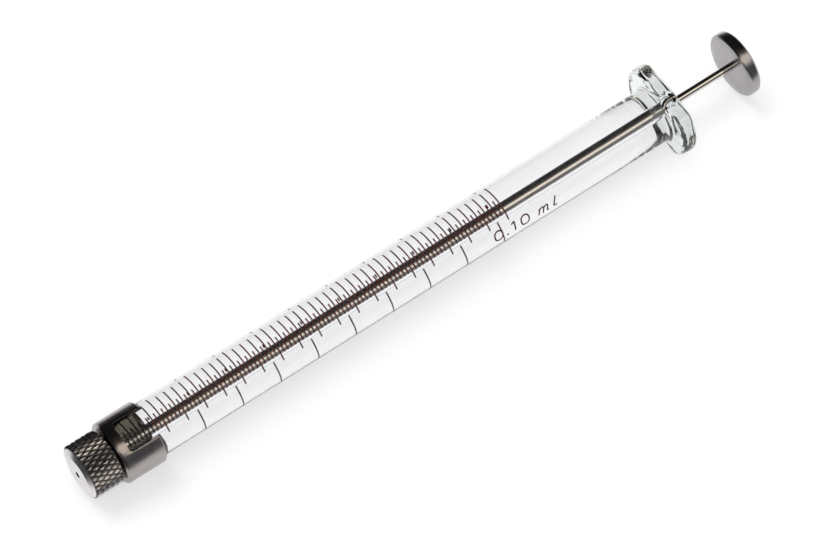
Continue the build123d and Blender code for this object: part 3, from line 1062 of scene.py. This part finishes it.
def close_knurl(mesh, rim_inset):
    """Closes the knurl's skin with the nose face, the needle hole, the nut's bore and the open end."""
    work = bmesh.new()
    work.from_mesh(mesh)
    half = 0.5 * NUT_LENGTH * MM
    ease = 0.05
    lead = 0.15
    nose_route = [(0.0, 1.9), (0.0, 1.1), (0.0, NEEDLE_HOLE + ease), (ease, NEEDLE_HOLE),
                  (NUT_WALL, NEEDLE_HOLE)]
    open_route = [(NUT_LENGTH, NUT_BORE + lead), (NUT_LENGTH - lead, NUT_BORE), (NUT_WALL + ease, NUT_BORE),
                  (NUT_WALL, NUT_BORE - ease), (NUT_WALL, 1.6), (NUT_WALL, NEEDLE_HOLE)]
    routes = ((True, nose_route), (False, open_route))
    for front, route in routes:
        edges = [edge for edge in work.edges
                 if edge.is_boundary and (edge.verts[0].co.x < half) == front]
        for place, radius in route:
            grown = bmesh.ops.extrude_edge_only(work, edges=edges)["geom"]
            for vert in grown:
                if isinstance(vert, bmesh.types.BMVert):
                    size = radius * MM / math.hypot(vert.co.y, vert.co.z)
                    vert.co = Vector((place * MM, vert.co.y * size, vert.co.z * size))
            edges = [edge for edge in grown if isinstance(edge, bmesh.types.BMEdge) and edge.is_boundary]
    finish_mesh(work, SHARP_EASED)
    rim = (NUT_RADIUS - rim_inset) * MM        # the edge between the nose face and its bevel
    for edge in work.edges:
        if all(abs(vert.co.x) < 0.01 * MM and math.hypot(vert.co.y, vert.co.z) > rim - 0.02 * MM
               for vert in edge.verts):
            edge.smooth = False
    work.to_mesh(mesh)
    work.free()


# ---------------------------------------------------------------- operators

class SYRINGE_OT_barrel(bpy.types.Operator):
    """Makes the drawn and pressed glass barrel"""
    bl_idname = "syringe.barrel"
    bl_label = "Glass barrel"

    def execute(self, context):
        colours = context.scene.syringe_colours
        count = 256
        sections = [barrel_section(2.0 * math.pi * index / count) for index in range(count)]
        mesh = make_lathed_mesh("glass_barrel", sections, SHARP_GLASS)
        piece = new_object("glass_barrel", mesh, glass_material(colours.glass))
        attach(piece, "glass_body")
        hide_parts("barrel")
        return {"FINISHED"}


class SYRINGE_OT_scale(bpy.types.Operator):
    """Makes the fired-on lines of the scale and the capacity lettering"""
    bl_idname = "syringe.scale"
    bl_label = "Scale lines"

    def execute(self, context):
        sizes = context.scene.syringe_scale
        material = enamel_material(context.scene.syringe_colours.enamel)
        tree = make_scale_tree(material, sizes.divisions)
        values = {
            "Empty mark": ZERO_MARK * MM,
            "Pitch": MICROLITRE * MM,
            "Radius": BARREL_RADIUS * MM,
            "Width": sizes.line_width * MM,
            "Stand": sizes.line_stand * MM,
            "Sink": sizes.line_sink * MM,
        }
        piece = bake_tree("scale_marks", tree, values, material, SHARP_ENAMEL)
        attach(piece, "glass_body")
        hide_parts("scale_lines")
        mesh = make_strokes_mesh("volume_mark", volume_strokes(), 1.08 * sizes.line_width,
                                 sizes.line_stand, sizes.line_sink)
        mark = new_object("volume_mark", mesh, material)
        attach(mark, "glass_body")
        return {"FINISHED"}


class SYRINGE_OT_front(bpy.types.Operator):
    """Makes the hub, the knurled nut and the needle seal"""
    bl_idname = "syringe.front"
    bl_label = "Hub, nut and seal"

    def execute(self, context):
        colours = context.scene.syringe_colours
        hub = eased_copy("hub", "hub_sleeve", 0.05, hub_material(colours.hub), fit_window)
        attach(hub, "glass_body")
        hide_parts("hub")
        finish = metal_material("thread_plating", colours.hub, 0.16, 9.0, 0.002)
        values = {
            "Start": THREAD_START * MM,
            "Turns": float(THREAD_TURNS),
            "Pitch": THREAD_PITCH * MM,
            "Root radius": (SPIGOT_RADIUS - 0.01) * MM,
            "Height": THREAD_HEIGHT * MM,
        }
        thread = bake_tree("spigot_thread", make_thread_tree(finish), values, finish, SHARP_TURNED)
        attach(thread, "glass_body")
        bead = new_object("bond_bead", self.make_bead(), bead_material())
        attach(bead, "glass_body")
        nut = self.make_nut(context.scene.syringe_knurl, nut_material(colours.nut))
        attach(nut, "nut_body")
        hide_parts("needle_nut")
        seal = self.make_seal(seal_material(colours.seal))
        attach(seal, "seal_body")
        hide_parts("needle_seal")
        return {"FINISHED"}

    def make_bead(self):
        """Bead of adhesive pressed out behind the sleeve, which stops at the window."""
        clear = 2.0
        low = math.radians(WINDOW_TO + WINDOW_WIDENED + clear)
        high = math.radians(360.0 + WINDOW_FROM - clear)
        root = BARREL_RADIUS - 0.01
        front = HUB_BACK - 0.04
        count = 180
        work = bmesh.new()
        rings = []
        for index in range(count + 1):
            angle = between(low, high, index / count)
            ends = min(1.0, 8.0 * min(index, count - index) / count + 0.15)
            waver = 0.05 * math.sin(3.1 * angle) + 0.03 * math.sin(7.3 * angle + 1.0)
            reach = (0.42 + waver) * ends
            height = 0.20 * ends
            section = [(front, root), (HUB_BACK + reach, root),
                       (HUB_BACK + 0.45 * reach, BARREL_RADIUS + 0.25 * height),
                       (HUB_BACK + 0.12 * reach, BARREL_RADIUS + 0.60 * height),
                       (front, BARREL_RADIUS + height)]
            rings.append([work.verts.new(ring_point(x, radius, angle)) for x, radius in section])
        skin_rings(work, rings, False)
        return write_mesh(work, bpy.data.meshes.new("bond_bead"), SHARP_GLASS)

    def make_seal(self, material):
        """Headed bush that the needle passes through, with a funnel at its mouth."""
        ease = 0.08
        outline = [(SEAL_FRONT, SEAL_FUNNEL), (SEAL_FRONT + SEAL_FUNNEL, SEAL_HOLE), (SEAL_BACK, SEAL_HOLE)]
        outline += rounded((SEAL_BACK, SEAL_STEM_RADIUS), (0, 1), (-1, 0), ease)
        outline += [(SEAL_HEAD_BACK, SEAL_STEM_RADIUS)]
        outline += rounded((SEAL_HEAD_BACK, SEAL_HEAD_RADIUS), (0, 1), (-1, 0), ease)
        outline += rounded((SEAL_FRONT, SEAL_HEAD_RADIUS), (-1, 0), (0, -1), ease)
        return lathe_piece("seal_bush", outline, 72, material)

    def make_nut(self, sizes, material):
        """Knurled skin of the nut, closed by its faces and bores."""
        values = {
            "Length": NUT_LENGTH * MM,
            "Radius": NUT_RADIUS * MM,
            "Points": float(sizes.points),
            "Rows": float(sizes.rows),
            "Depth": sizes.depth * MM,
            "Unevenness": sizes.unevenness,
            "Bevel width": sizes.bevel_width * MM,
            "Bevel length": sizes.bevel_length * MM,
            "End chamfer": NUT_CHAMFER * MM,
            "Seed": KNURL_SEED,
        }
        nut = bake_tree("knurled_nut", make_knurl_tree(material), values, material, SHARP_EASED)
        close_knurl(nut.data, sizes.bevel_width)
        return nut


class SYRINGE_OT_plunger(bpy.types.Operator):
    """Makes the lapped piston with its stem, the turning end piece and the button"""
    bl_idname = "syringe.plunger"
    bl_label = "Plunger"

    def execute(self, context):
        colours = context.scene.syringe_colours
        self.make_tip(metal_material("tip_steel", colours.tip, 0.13, 20.0, 0.0006, 0.05))
        self.make_rod(rod_material(colours.rod))
        self.make_button(metal_material("button_plating", colours.button, 0.14, 12.0, 0.002))
        return {"FINISHED"}

    def make_tip(self, material):
        """End piece of the piston, closed over the barbed neck that it turns on."""
        play = TURNING_PLAY
        back = TIP_BACK - play
        outline = [(ZERO_MARK, 0.0), (BARB_FRONT - play, 0.0), (BARB_FRONT - play, BARB_RADIUS + play),
                   (BARB_BACK + play, BARB_RADIUS + play), (BARB_BACK + play, NECK_RADIUS + play),
                   (back, NECK_RADIUS + play)]
        outline += rounded((back, PISTON_RADIUS), (0, 1), (-1, 0), 0.25 * PISTON_EDGE)
        outline += rounded((ZERO_MARK, PISTON_RADIUS), (-1, 0), (0, -1), PISTON_EDGE)
        piece = lathe_piece("piston_end", outline, 96, material)
        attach(piece, "tip_body")
        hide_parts("plunger_tip")

    def make_rod(self, material):
        """Lapped piston with a barbed neck in front and a thinner stem behind."""
        outline = [(BARB_FRONT, 0.0), (STEM_BACK, 0.0), (STEM_BACK, STEM_RADIUS), (STEM_FRONT, STEM_RADIUS)]
        outline += rounded((STEM_FRONT, PISTON_RADIUS), (0, 1), (-1, 0), PISTON_EDGE)
        steps = 24
        outline += [(between(STEM_FRONT - 0.1, TIP_BACK, step / steps), PISTON_RADIUS)
                    for step in range(1, steps)]
        outline += rounded((TIP_BACK, PISTON_RADIUS), (-1, 0), (0, -1), 0.25 * PISTON_EDGE)
        outline += [(TIP_BACK, NECK_RADIUS), (BARB_BACK, NECK_RADIUS), (BARB_BACK, BARB_RADIUS),
                    (BARB_FRONT, BARB_RADIUS)]
        piece = lathe_piece("piston_rod", outline, 96, material)
        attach(piece, "plunger_body")
        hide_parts("plunger_rod")

    def make_button(self, material):
        """Round button with a bevel at both rims and a blind hole for the stem."""
        hole = STEM_RADIUS + BUTTON_SEAT_GAP
        lead = 0.05
        bevel = [(0.0, BUTTON_EDGE + 0.04), (0.02, BUTTON_EDGE - 0.01),
                 (BUTTON_EDGE - 0.01, 0.02), (BUTTON_EDGE + 0.04, 0.0)]
        face = [1.6, 3.2]
        outline = [(STEM_BACK, 0.0), (BUTTON_BACK, 0.0)]
        outline += [(BUTTON_BACK, radius) for radius in face]
        outline += [(BUTTON_BACK - along, BUTTON_RADIUS - across) for along, across in bevel]
        outline += [(BUTTON_FRONT + along, BUTTON_RADIUS - across) for along, across in reversed(bevel)]
        outline += [(BUTTON_FRONT, radius) for radius in reversed(face)]
        outline += [(BUTTON_FRONT, hole + lead), (BUTTON_FRONT + lead, hole), (STEM_BACK, hole)]
        piece = lathe_piece("thumb_button", outline, 128, material)
        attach(piece, "plunger_body")
        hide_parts("plunger_button")


def studio_pattern(tree, angle_share):
    """Colour that gloss and glass see, by the direction's angle round the axis.

    The share is 0 and 1 straight down, and 0.5 straight up, and rises towards -Y above the axis.
    """
    dark = (0.012, 0.012, 0.013)
    slate = (0.11, 0.115, 0.125)
    strip = (1.27, 1.17, 1.00)
    floor = (0.90, 0.90, 0.92)
    up = 0.50
    stops = [
        (0.0, floor),
        (0.20, (0.45, 0.44, 0.44)),       # the far side of the floor
        (0.24, dark),
        (up - 0.04, dark),
        (up + 0.018, (0.10, 0.09, 0.08)),
        (up + 0.042, strip),              # the lamp strip that metal shows as its highlight
        (up + 0.106, strip),
        (up + 0.132, (0.30, 0.29, 0.28)),
        (up + 0.158, slate),
        (up + 0.245, slate),
        (up + 0.300, (0.85, 0.85, 0.87)),
        (1.0, floor),
    ]
    return ramp_node(tree, angle_share, stops)


class SYRINGE_OT_stage(bpy.types.Operator):
    """Sets the camera, the key light, the room and the floor"""
    bl_idname = "syringe.stage"
    bl_label = "Stage"

    def execute(self, context):
        sizes = context.scene.syringe_stage
        self.make_camera(context, sizes.lens)
        self.make_world(context, sizes.fill_strength)
        self.make_key(context, sizes.key_strength)
        self.make_floor()
        context.scene.view_settings.view_transform = "Standard"
        return {"FINISHED"}

    def make_camera(self, context, lens):
        """Long lens that looks down on the syringe, rolled so that it lies across the picture."""
        eye = Vector(CAMERA_EYE) * MM
        aim = Vector(CAMERA_AIM) * MM
        forward = (aim - eye).normalized()
        side = forward.cross(Vector(CAMERA_UPRIGHT)).normalized()
        rise = side.cross(forward)
        roll = math.radians(CAMERA_ROLL)
        right = side * math.cos(roll) + rise * math.sin(roll)
        up = rise * math.cos(roll) - side * math.sin(roll)
        data = bpy.data.cameras.new("camera")
        data.lens = lens
        data.sensor_width = 36.0
        data.clip_start = 0.05
        data.clip_end = 20.0
        camera = bpy.data.objects.new("camera", data)
        camera.matrix_world = Matrix.Translation(eye) @ Matrix((right, up, -forward)).transposed().to_4x4()
        context.scene.collection.objects.link(camera)
        context.scene.camera = camera

    def make_world(self, context, fill):
        """Even fill light, a pattern for gloss and glass, and plain white for the camera."""
        world = bpy.data.worlds.new("room")
        context.scene.world = world
        world.use_nodes = True
        tree = world.node_tree
        tree.nodes.clear()
        direction = add_node(tree, "ShaderNodeTexCoord").outputs["Generated"]
        split = add_node(tree, "ShaderNodeSeparateXYZ", [(0, direction)])
        side = math_node(tree, "MULTIPLY", split.outputs[1], -1.0)
        angle = math_node(tree, "ARCTAN2", side, split.outputs[2])
        share = math_node(tree, "DIVIDE", angle, 2.0 * math.pi)
        share = math_node(tree, "ADD", share, 0.5)
        pattern = studio_pattern(tree, share)
        path = add_node(tree, "ShaderNodeLightPath")
        seen = math_node(tree, "MAXIMUM", path.outputs["Is Glossy Ray"], path.outputs["Is Transmission Ray"])
        level = add_node(tree, "ShaderNodeRGB")
        level.outputs[0].default_value = (fill, fill, 1.02 * fill, 1.0)
        shown = mix_colours(tree, seen, level.outputs[0], pattern)
        shown = mix_colours(tree, path.outputs["Is Camera Ray"], shown, (1.0, 1.0, 1.0))
        background = add_node(tree, "ShaderNodeBackground", [("Color", shown), ("Strength", 1.0)])
        output = tree.nodes.new("ShaderNodeOutputWorld")
        tree.links.new(background.outputs[0], output.inputs[0])

    def make_key(self, context, strength):
        """Broad key light from above and the far side, which gives the soft shadow."""
        data = bpy.data.lights.new("key", "SUN")
        data.energy = strength * math.pi
        data.angle = math.radians(35.0)
        data.color = (1.0, 0.99, 0.97)
        lamp = bpy.data.objects.new("key", data)
        lamp.visible_glossy = False
        lamp.visible_transmission = False
        towards = Vector((0.15, -0.55, -1.0)).normalized()
        lamp.matrix_world = towards.to_track_quat("-Z", "Y").to_matrix().to_4x4()
        context.scene.collection.objects.link(lamp)

    def make_floor(self):
        """White paper under the flange's flat, which gloss and glass see fade with distance."""
        low = -FLANGE_HALF_HEIGHT * MM
        mesh = bpy.data.meshes.new("floor")
        reach = 1.6
        corners = [(-reach, -reach, low), (reach, -reach, low), (reach, reach, low), (-reach, reach, low)]
        mesh.from_pydata(corners, [], [(0, 1, 2, 3)])
        material, tree, shader = new_material("floor_paper")
        shader.inputs["Roughness"].default_value = 0.9
        shader.inputs["Specular IOR Level"].default_value = 0.0
        place = add_node(tree, "ShaderNodeTexCoord").outputs["Object"]
        split = add_node(tree, "ShaderNodeSeparateXYZ", [(0, place)])
        noise = add_node(tree, "ShaderNodeTexNoise", [
            ("Vector", place), ("Scale", 3.0 / MM), ("Detail", 3.0)])
        paper = ramp_node(tree, noise.outputs[0], [(0.3, (0.90, 0.90, 0.905)), (0.7, (0.92, 0.92, 0.925))])
        along, across = split.outputs[0], split.outputs[1]
        fades = (
            (across, 12.0, 35.0, 1.0, 0.07),       # on the far side
            (along, -7.5, -4.0, 0.05, 1.0),        # ahead of the nose
            (across, -62.0, -10.0, 0.16, 1.0),     # on the near side
        )
        spread = 1.0
        for way, start, end, at_start, at_end in fades:
            fade = add_node(tree, "ShaderNodeMapRange", [
                (0, way), (1, start * MM), (2, end * MM), (3, at_start), (4, at_end)],
                interpolation_type="SMOOTHSTEP")
            spread = math_node(tree, "MULTIPLY", spread, fade.outputs[0])
        path = add_node(tree, "ShaderNodeLightPath")
        mirrored = math_node(
            tree, "MAXIMUM", path.outputs["Is Glossy Ray"], path.outputs["Is Transmission Ray"])
        seen = math_node(tree, "MAXIMUM", path.outputs["Is Camera Ray"], mirrored)
        faded = math_node(tree, "MULTIPLY", mirrored, math_node(tree, "SUBTRACT", 1.0, spread))
        level = math_node(tree, "SUBTRACT", 1.0, faded)
        shown = mix_colours(tree, seen, (1.0, 1.0, 1.0), (0.54, 0.54, 0.54))
        tone = mix_colours(tree, level, (0.0, 0.0, 0.0), shown)
        colour = add_node(tree, "ShaderNodeVectorMath", [(0, paper), (1, tone)], operation="MULTIPLY")
        tree.links.new(colour.outputs[0], shader.inputs["Base Color"])
        shader.inputs["Emission Color"].default_value = (1.0, 1.0, 1.0, 1.0)
        lift = math_node(tree, "MULTIPLY", math_node(tree, "MULTIPLY", seen, 0.57), level)
        tree.links.new(lift, shader.inputs["Emission Strength"])
        floor = new_object("floor", mesh, material)


class SYRINGE_PT_panel(bpy.types.Panel):
    """Lists the pieces of the syringe"""
    bl_label = "Microsyringe"
    bl_idname = "SYRINGE_PT_panel"
    bl_space_type = "VIEW_3D"
    bl_region_type = "UI"
    bl_category = "Microsyringe"

    def draw(self, context):
        layout = self.layout
        scene = context.scene
        groups = (scene.syringe_scale, scene.syringe_knurl, scene.syringe_stage, scene.syringe_colours)
        for group in groups:
            box = layout.box()
            for key in group.__annotations__:
                box.prop(group, key)
        for operator in OPERATORS:
            layout.operator(operator.bl_idname)


OPERATORS = (SYRINGE_OT_stage, SYRINGE_OT_barrel, SYRINGE_OT_scale, SYRINGE_OT_front, SYRINGE_OT_plunger)
CLASSES = (ScaleSizes, KnurlSizes, StageSizes, FinishColours, *OPERATORS, SYRINGE_PT_panel)


def register():
    """Registers the classes and their settings."""
    for cls in CLASSES:
        bpy.utils.register_class(cls)
    bpy.types.Scene.syringe_scale = PointerProperty(type=ScaleSizes)
    bpy.types.Scene.syringe_knurl = PointerProperty(type=KnurlSizes)
    bpy.types.Scene.syringe_stage = PointerProperty(type=StageSizes)
    bpy.types.Scene.syringe_colours = PointerProperty(type=FinishColours)


def unregister():
    """Removes the settings and the classes."""
    del bpy.types.Scene.syringe_colours
    del bpy.types.Scene.syringe_stage
    del bpy.types.Scene.syringe_knurl
    del bpy.types.Scene.syringe_scale
    for cls in reversed(CLASSES):
        bpy.utils.unregister_class(cls)


def main():
    """Makes every piece in order."""
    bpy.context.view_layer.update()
    register()
    bpy.ops.syringe.stage()
    bpy.ops.syringe.barrel()
    bpy.ops.syringe.scale()
    bpy.ops.syringe.front()
    bpy.ops.syringe.plunger()


if __name__ == "__main__":
    main()
